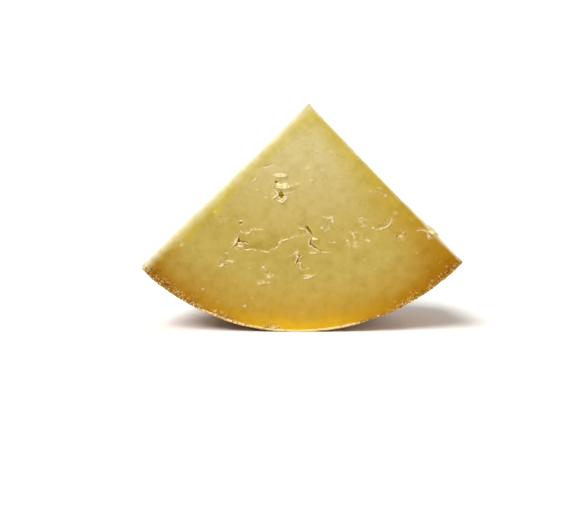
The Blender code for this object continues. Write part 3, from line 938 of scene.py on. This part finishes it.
def mixed(tree, share, first, second, **settings):
    """A colour that goes from the first to the second with a share."""
    feeds = {0: share, 6: first, 7: second}
    return add_node(tree, "ShaderNodeMix", feeds, data_type="RGBA", **settings).outputs[2]


def coated(tree, ground, *coats):
    """A colour with coats over it, each a share and a colour."""
    for share, shade in coats:
        ground = mixed(tree, share, ground, shade)
    return ground


def bumped(tree, height, strength, distance):
    """The surface's direction, roughened by these heights."""
    feeds = {"Height": height, "Strength": strength, "Distance": distance}
    return add_node(tree, "ShaderNodeBump", feeds).outputs["Normal"]


def new_material(name):
    """A new material, its nodes and its shader."""
    material = bpy.data.materials.new(name)
    material.use_nodes = True
    return material, material.node_tree, material.node_tree.nodes["Principled BSDF"]


def paste_material(colours):
    """Pressed, aged cow's milk paste, cut with a wire: waxy and a little translucent, so light softens in it,
    pale in the wheel's heart and golden where it dries beside a cut or ripens under the rind."""
    material, tree, shader = new_material("pressed_milk_paste")
    place = add_node(tree, "ShaderNodeTexCoord").outputs["Object"]
    under_rind, dried, stain_and_shade, smear_and_sheen = measures(tree, "under_rind", "dried", "stain_and_shade", "smear_and_sheen")
    crust, low, tear_and_shade, lip = measures(tree, "crust", "low", "tear_and_shade", "lip")
    # Ripening moves in uneven fronts of a centimetre or so
    front = ranged(tree, noised(tree, place, 95.0, 3.0), 0.0, 1.0, -5.0, 5.0)
    drift = reckoned(tree, "MULTIPLY", front, ranged(tree, under_rind, 0.0, 10.0))
    deep = reckoned(tree, "ADD", under_rind, drift)
    moist = mixed(tree, ranged(tree, deep, *HEART_SPAN), colours.body, colours.heart)
    dry = mixed(tree, ranged(tree, deep, *EDGE_SPAN), colours.edge_gold, colours.edge_amber)
    # Where the rim is lowest, gold and amber turn to a brighter yellow: painted bounce light from below
    gold = mixed(tree, reckoned(tree, "MULTIPLY", low, 0.45), colours.rind_gold, colours.bounce_lit_yellow)
    amber = mixed(tree, low, colours.rind_amber, colours.bounce_lit_yellow)
    gold_share = ranged(tree, deep, *GOLD_SPAN, 0.9, 0.0)
    amber_share = ranged(tree, deep, *AMBER_SPAN, 0.9, 0.0, interpolation_type="SMOOTHSTEP")
    # The whey coat also paints the shade under the apex's smeared fat
    ripe = coated(tree, moist, (dried, dry), (gold_share, gold), (amber_share, amber), (stain_and_shade, colours.whey))
    # Faint clouds of 5 mm keep the paste from looking even
    clouds = ramped(
        tree,
        noised(tree, place, 190.0, 5.0, 0.62),
        (0.32, (0.90, 0.89, 0.78, 1.0)),
        (0.5, (1.0, 1.0, 1.0, 1.0)),
        (0.68, (1.06, 1.05, 1.10, 1.0)),
    )
    clouded = mixed(tree, 1.0, ripe, clouds, blend_type="MULTIPLY")
    # Grains of one tone each make up the crust, paler where the rim is lowest, by the mask of the painted
    # bounce light
    grains = ramped(
        tree,
        reckoned(tree, "MULTIPLY_ADD", low, 0.4, grain_tones(tree, place)),
        (0.0, colours.crumb_dark),
        (0.22, colours.rind_amber),
        (0.62, colours.crumb_tan),
        (0.95, colours.crumb_cream),
    )
    # The smear coat is smeared fat, with a painted sheen along the left edge and a painted highlight along the
    # right one
    coats = ((crust, grains), (tear_and_shade, colours.tear_and_shade), (lip, colours.lip), (smear_and_sheen, colours.smear_and_sheen))
    feeds = {
        "Base Color": coated(tree, clouded, *coats),
        # Curd grains of about 1 mm
        "Normal": bumped(tree, noised(tree, place, 900.0, 4.0), 0.25, 0.0003),
        "Roughness": 0.48,
        "IOR": 1.45,
        "Specular IOR Level": 0.07,
        "Subsurface Weight": 0.35,
        "Subsurface Radius": (1.0, 0.6, 0.25),
        "Subsurface Scale": 0.0025,
    }
    feed(tree, shader, feeds)
    return material


class CHEESE_OT_cut_paste(bpy.types.Operator):
    """Models the pale paste with its knife-cut faces, fissures and eyes"""

    bl_idname = "cheese.cut_paste"
    bl_label = "Cut Paste"

    def execute(self, context):
        slab = Slab(context.scene.cheese_form)
        build, places, attributes = make_paste(slab)
        material = paste_material(context.scene.cheese_colours)
        piece = finished_piece("cheese_paste", build, places, attributes, material)
        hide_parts("cheese_wedge")
        return {"FINISHED"}


def rind_sheet():
    """The rim and flat face of the unit cube, doubled into a shell, with each point's share of the way in."""
    build = unit_cube(*RIND_CELLS)
    cut_away = [
        face
        for face in build.faces
        if any(all(vertex.co[axis] < 1e-6 for vertex in face.verts) for axis in range(3))
    ]
    bmesh.ops.delete(build, geom=cut_away, context="FACES")
    inside = build.verts.layers.float.new("inside")
    doubled = bmesh.ops.extrude_face_region(build, geom=build.faces[:], use_keep_orig=True)
    for thing in doubled["geom"]:
        if isinstance(thing, bmesh.types.BMVert):
            thing[inside] = 1.0
    walls = [edge for edge in build.edges if edge.verts[0][inside] != edge.verts[1][inside]]
    bmesh.ops.subdivide_edges(build, edges=walls, cuts=2, use_grid_fill=True)
    build.verts.index_update()
    return build, np.array([vertex[inside] for vertex in build.verts])


def make_rind(slab):
    """A thin shell over the rim and the flat face, with its ridge, streaks, pits and mould."""
    build, inside = rind_sheet()
    cube = cube_points(build)
    sharp = slab.sharp(cube, inside * slab.form.rind_thickness)
    outer = slab.sharp(cube, 0.0)
    _, outward = away_from_axis(outer)
    on_flat = cube[:, 2] == 1
    around = slab.radius * np.arctan2(outer[:, 0], -outer[:, 2]) / MM
    rim_deep = cube[:, 2] * (slab.height + (math.pi / 2 - 1) * slab.form.heel_radius) / MM
    wander = lumps(outer, "spot")
    strength = {}
    for label, rim_list, flat_list in (
        ("mould_black", RIM_BLACK_SPOTS, FLAT_BLACK_SPOTS),
        ("mould_grey", RIM_GREY_SPOTS, FLAT_GREY_SPOTS),
        ("damp", RIM_BROWN_SPOTS, FLAT_BROWN_SPOTS),
    ):
        on_rim = spots(np.stack([around, rim_deep], axis=1), rim_list, wander)
        strength[label] = np.where(on_flat, spots(BIG_FACE.flat(outer), flat_list, wander), on_rim)
    # Streaks run round the rim, 16 mm long and 1.7 mm apart, and the flat face has none
    streak = lumps(np.stack([around / 16, rim_deep / 1.7, 0 * around], axis=1) * ~on_flat[:, None], "streak")
    pit = smooth_step(0.30, 0.55, lumps(outer, "pit"))
    down = strength["mould_grey"] * (0.5 + lumps(outer, "down"))
    raised = 0.07 * streak + 0.07 * lumps(outer, "rind_grain") - 0.32 * pit + 0.22 * down
    raised = (raised - 0.25 * strength["mould_black"]) * (1 - inside) * MM
    points = slab.aged(slab.rounded(sharp))
    heel_turn = smooth_step(0.80, 1.0, cube[:, 2])[:, None]
    way = outward * (1 - heel_turn) + np.array([0.0, 1.0, 0.0]) * heel_turn
    points += raised[:, None] * way
    proud = slab.form.rind_proud * (1 + lumps(outer, "proud"))
    for face, there in sides_of(cube):
        points[there] -= proud[there][:, None] * face.inward
    section = (cube.min(axis=1) == 0).astype(float)
    attributes = {
        "around": around,
        "from_cut": np.where(on_flat, 200.0, rim_deep),
        "section": section,
        # Where the cut through the rind meets the left edge: smeared fat with a painted sheen
        "smear_and_sheen": section * smear_and_sheen_share(slab, sharp),
        **strength,
    }
    return build, slab.standing(points), attributes


def rind_material(colours):
    """A natural rind, washed in brine and aged on boards: hard and dull, mottled brown over tan with fine
    streaks from the mould's wall, dusted with grey down and spotted with black mould."""
    material, tree, shader = new_material("brine_washed_rind")
    place = add_node(tree, "ShaderNodeTexCoord").outputs["Object"]
    around, from_cut, section, smear_and_sheen = measures(tree, "around", "from_cut", "section", "smear_and_sheen")
    mould_black, mould_grey, damp = measures(tree, "mould_black", "mould_grey", "damp")
    # Blotches of 15 mm, broken up by finer ones, carry the mottling
    ground = ramped(
        tree,
        noised(tree, place, 65.0, 6.0, 0.65),
        (0.33, colours.rind_dark),
        (0.45, colours.rind_brown),
        (0.54, colours.rind_brown),
        (0.67, colours.rind_tan),
    )
    # Streaks 1.7 mm apart run round the rim
    run = add_node(tree, "ShaderNodeCombineXYZ", {"X": around, "Y": from_cut}).outputs[0]
    drawn_out = add_node(tree, "ShaderNodeMapping", {"Vector": run, "Scale": (1 / 18, 1 / 1.7, 1.0)})
    streak = ranged(tree, noised(tree, drawn_out.outputs[0], 1.0, 2.0), 0.5, 0.75, 0.0, 0.45)
    young = ranged(tree, from_cut, *YOUNG_SPAN, 0.85, 0.0, interpolation_type="SMOOTHSTEP")
    # Dust and pores of about 1 mm
    speck = noised(tree, place, 1000.0, 3.0)
    dust = ranged(tree, speck, 0.56, 0.70, 0.0, 0.55)
    pore = ranged(tree, speck, 0.44, 0.32, 0.0, 0.55)
    down_stops = ((0.38, colours.mould_black), (0.50, colours.mould_violet), (0.60, colours.mould_grey))
    # The cut through the rind is pale where the rim is lowest, with brown grains towards the knife cuts
    aside = reckoned(tree, "ABSOLUTE", reckoned(tree, "ADD", around, -PALE_MIDDLE))
    pale_there = ranged(tree, aside, *PALE_SPAN, 0.12, 0.97)
    pale_share = reckoned(tree, "MULTIPLY", pale_there, ranged(tree, from_cut, *PALE_DEPTHS))
    pale = reckoned(tree, "LESS_THAN", grain_tones(tree, place), pale_share)
    surface = coated(
        tree,
        ground,
        (streak, colours.rind_tan),
        (young, colours.rind_orange),
        (damp, colours.rind_dark),
        (dust, colours.rind_tan),
        (pore, colours.rind_dark),
        (mould_grey, ramped(tree, speck, *down_stops)),
        (mould_black, colours.mould_black),
        (section, mixed(tree, pale, colours.crust, colours.crust_pale)),
        # Smeared fat with a painted sheen along the left edge
        (smear_and_sheen, colours.smear_and_sheen),
    )
    feeds = {
        "Base Color": surface,
        "Normal": bumped(tree, speck, 0.6, 0.0004),
        "Roughness": ranged(tree, speck, 0.0, 1.0, 0.62, 0.92),
        "IOR": 1.45,
    }
    feed(tree, shader, feeds)
    return material


class CHEESE_OT_age_rind(bpy.types.Operator):
    """Models the hard brown rind over the rim and the flat face"""

    bl_idname = "cheese.age_rind"
    bl_label = "Age Rind"

    def execute(self, context):
        slab = Slab(context.scene.cheese_form)
        build, places, attributes = make_rind(slab)
        material = rind_material(context.scene.cheese_colours)
        finished_piece("natural_rind", build, places, attributes, material)
        return {"FINISHED"}


class Crumbs:
    """Crumbs that cling to the cut faces, gathered as places, radii and tones from dark (0) to cream (1)."""

    # How far a crumb is stretched each way, and how deep behind the face its middle lies, in radii
    stretch = (0.6, 1.3)
    sunk = (-0.4, 0.3)
    # How many of the crumbs along the arc stray, and how much farther in those lie
    strays = 0.12
    stray_reach = 2.6
    # The share of the arc where the crumbs are palest, how far that spreads, and how pale they are there
    pale_at = 0.41
    pale_spread = 0.2
    paleness = 0.6

    def __init__(self, slab):
        self.slab = slab
        self.draw = np.random.default_rng(SEED + 1)
        self.places, self.radii, self.tones = [], [], []

    def cling(self, points, inward, radii, tones):
        """Half sinks each crumb into the face that it lies on, and keeps it inside the part's box."""
        rounded = self.slab.standing(self.slab.rounded(points))
        places = rounded + inward * (radii * self.draw.uniform(*self.sunk, len(radii)))[:, None]
        reach = self.stretch[1] * radii[:, None]
        lowest, highest = np.array(NODE_BOX)
        self.places.extend(np.clip(places, lowest + reach, highest - reach))
        self.radii.extend(radii)
        self.tones.extend(tones)

    def along_the_arc(self, count):
        """Over the crumbly crust of the big face, thickest where that is widest."""
        cumulative = np.cumsum(CRUST_WIDTHS)
        passed = (cumulative - cumulative[0]) / np.ptp(cumulative)
        share = np.interp(self.draw.random(count), passed, CRUST_SHARES)
        stray = np.where(self.draw.random(count) < self.strays, self.stray_reach, 1.0)
        inset = stray * self.draw.random(count) ** 1.4 * np.interp(share, CRUST_SHARES, CRUST_WIDTHS) * MM
        angle = LEFT_CUT + (RIGHT_CUT - LEFT_CUT) * share
        points = self.slab.beside_rim(angle, np.zeros(count), inset)
        pale = self.paleness * bell((share - self.pale_at) / self.pale_spread)
        tones = self.draw.random(count) * (1 - pale) + pale
        radii = self.draw.uniform(*CRUMB_RADIUS, count) * MM
        clear = LEFT_FACE.under(points) > self.slab.form.smeared_edge
        self.cling(points[clear], BIG_FACE.inward, radii[clear], tones[clear])

    def along_the_knife_cuts(self, count):
        """Beside the rim on both knife cuts."""
        for angle, face in ((LEFT_CUT, LEFT_FACE), (RIGHT_CUT, RIGHT_FACE)):
            depth = self.draw.uniform(0.02, 0.85, count) * self.slab.height
            inset = self.draw.random(count) ** 1.4 * SIDE_CRUST_WIDTH * MM
            points = self.slab.beside_rim(np.full(count, angle), depth, inset)
            radii = self.draw.uniform(*CRUMB_RADIUS, count) * MM
            self.cling(points, face.inward, radii, self.draw.random(count))

    def round_the_tears(self, count):
        """In the crumbly places of the big face."""
        x, z, radius, _ = np.array(FACE_CRUMBLES)[self.draw.integers(0, len(FACE_CRUMBLES), count)].T
        away, turn = radius * self.draw.random(count) ** 0.8, self.draw.uniform(0.0, 2 * math.pi, count)
        points = np.stack([x + away * np.cos(turn), np.zeros(count), z + away * np.sin(turn)], axis=1) * MM
        tones = self.draw.uniform(0.8, 1.0, count)
        self.cling(points, BIG_FACE.inward, self.draw.uniform(*TEAR_CRUMB_RADIUS, count) * MM, tones)

    def piece(self, name, material):
        """Makes all the crumbs into one piece."""
        build = bmesh.new()
        for place, radius in zip(self.places, self.radii):
            turn = Euler(self.draw.uniform(0.0, 2 * math.pi, 3)).to_matrix().to_4x4()
            stretch = Matrix.Diagonal((*self.draw.uniform(*self.stretch, 3), 1.0))
            matrix = Matrix.Translation(place) @ turn @ stretch
            bmesh.ops.create_icosphere(build, subdivisions=1, radius=radius, matrix=matrix)
        corners = len(build.verts) // len(self.places)
        attributes = {"tone": np.repeat(self.tones, corners)}
        return finished_piece(name, build, [vertex.co.copy() for vertex in build.verts], attributes, material)


def crumb_material(colours):
    """Dry crumbs of rind and paste, dull and all of one tone each."""
    material, tree, shader = new_material("dry_cheese_crumb")
    shade = ramped(
        tree,
        measures(tree, "tone")[0],
        (0.0, colours.crumb_dark),
        (0.25, colours.rind_amber),
        (0.65, colours.crumb_tan),
        (0.9, colours.crumb_cream),
    )
    feed(tree, shader, {"Base Color": shade, "Roughness": 0.8, "Specular IOR Level": 0.2})
    return material


class CHEESE_OT_scatter_crumbs(bpy.types.Operator):
    """Scatters crumbs beside the rind and round the tears"""

    bl_idname = "cheese.scatter_crumbs"
    bl_label = "Scatter Crumbs"

    def execute(self, context):
        form = context.scene.cheese_form
        crumbs = Crumbs(Slab(form))
        crumbs.along_the_arc(form.crumb_count)
        crumbs.along_the_knife_cuts(form.crumb_count // 7)
        crumbs.round_the_tears(form.crumb_count // 5)
        crumbs.piece("crumbs", crumb_material(context.scene.cheese_colours))
        return {"FINISHED"}


def stage_piece(name, build, material_name, hex_colour, glow):
    """A plain dull piece of the stage, which may glow."""
    material, tree, shader = new_material(material_name)
    shade = linear(hex_colour)
    feed(tree, shader, {"Base Color": shade, "Roughness": 0.9})
    feed(tree, shader, {"Emission Color": shade, "Emission Strength": glow})
    mesh = bpy.data.meshes.new(name)
    build.to_mesh(mesh)
    build.free()
    mesh.materials.append(material)
    piece = bpy.data.objects.new(name, mesh)
    bpy.context.scene.collection.objects.link(piece)
    return piece


class CHEESE_OT_set_stage(bpy.types.Operator):
    """Sets a white floor and backdrop, soft daylight from above, and the camera"""

    bl_idname = "cheese.set_stage"
    bl_label = "Set Stage"

    def execute(self, context):
        scene = context.scene
        floor = bmesh.new()
        bmesh.ops.create_circle(floor, cap_ends=True, segments=96, radius=4.0)
        bmesh.ops.translate(floor, verts=floor.verts, vec=(0.0, 0.0, -0.1 * MM))
        stage_piece("floor", floor, "white_paper_sweep", "F4F4F2", 0.0)
        dome = bmesh.new()
        bmesh.ops.create_uvsphere(dome, u_segments=48, v_segments=24, radius=6.0)
        backdrop = stage_piece("backdrop", dome, "white_backdrop", "FFFFFF", 1.0)
        backdrop.visible_diffuse = False
        backdrop.visible_glossy = False
        backdrop.visible_shadow = False
        backdrop.visible_transmission = False
        world = bpy.data.worlds.new("studio")
        world.use_nodes = True
        world.node_tree.nodes["Background"].inputs["Color"].default_value = linear("FFFFFF")
        world.node_tree.nodes["Background"].inputs["Strength"].default_value = 0.3
        scene.world = world
        for name, direction, strength, spread_angle, tint in SUNS:
            light = bpy.data.lights.new(name, "SUN")
            light.color = linear(tint)[:3]
            light.energy = strength
            light.angle = math.radians(spread_angle)
            lamp = bpy.data.objects.new(name, light)
            lamp.rotation_euler = Vector(direction).to_track_quat("Z", "Y").to_euler()
            scene.collection.objects.link(lamp)
        camera = bpy.data.cameras.new("camera")
        camera.lens = CAMERA_LENS
        camera.sensor_width = CAMERA_SENSOR
        camera.clip_start = 0.01
        viewer = bpy.data.objects.new("camera", camera)
        viewer.location = CAMERA_PLACE + Vector(Slab(scene.cheese_form).shift)
        viewer.rotation_euler = (math.pi / 2 - CAMERA_DIP, CAMERA_ROLL, 0.0)
        scene.collection.objects.link(viewer)
        scene.camera = viewer
        scene.view_settings.view_transform = "Standard"
        return {"FINISHED"}


class CHEESE_PT_panel(bpy.types.Panel):
    """Lists the sizes, the colours and the steps"""

    bl_idname = "CHEESE_PT_panel"
    bl_label = "Quarter Cheese Wheel"
    bl_space_type = "VIEW_3D"
    bl_region_type = "UI"
    bl_category = "Cheese"

    def draw(self, context):
        for group in (context.scene.cheese_form, context.scene.cheese_colours):
            box = self.layout.box()
            for name in group.__annotations__:
                box.prop(group, name)
        for step in STEPS:
            self.layout.operator(step.bl_idname)


STEPS = (CHEESE_OT_cut_paste, CHEESE_OT_age_rind, CHEESE_OT_scatter_crumbs, CHEESE_OT_set_stage)
CLASSES = (CheeseForm, CheeseColours, *STEPS, CHEESE_PT_panel)


def register():
    for each in CLASSES:
        bpy.utils.register_class(each)
    bpy.types.Scene.cheese_form = PointerProperty(type=CheeseForm)
    bpy.types.Scene.cheese_colours = PointerProperty(type=CheeseColours)


def unregister():
    del bpy.types.Scene.cheese_colours
    del bpy.types.Scene.cheese_form
    for each in reversed(CLASSES):
        bpy.utils.unregister_class(each)


def main():
    register()
    bpy.ops.cheese.cut_paste()
    bpy.ops.cheese.age_rind()
    bpy.ops.cheese.scatter_crumbs()
    bpy.ops.cheese.set_stage()


if __name__ == "__main__":
    main()
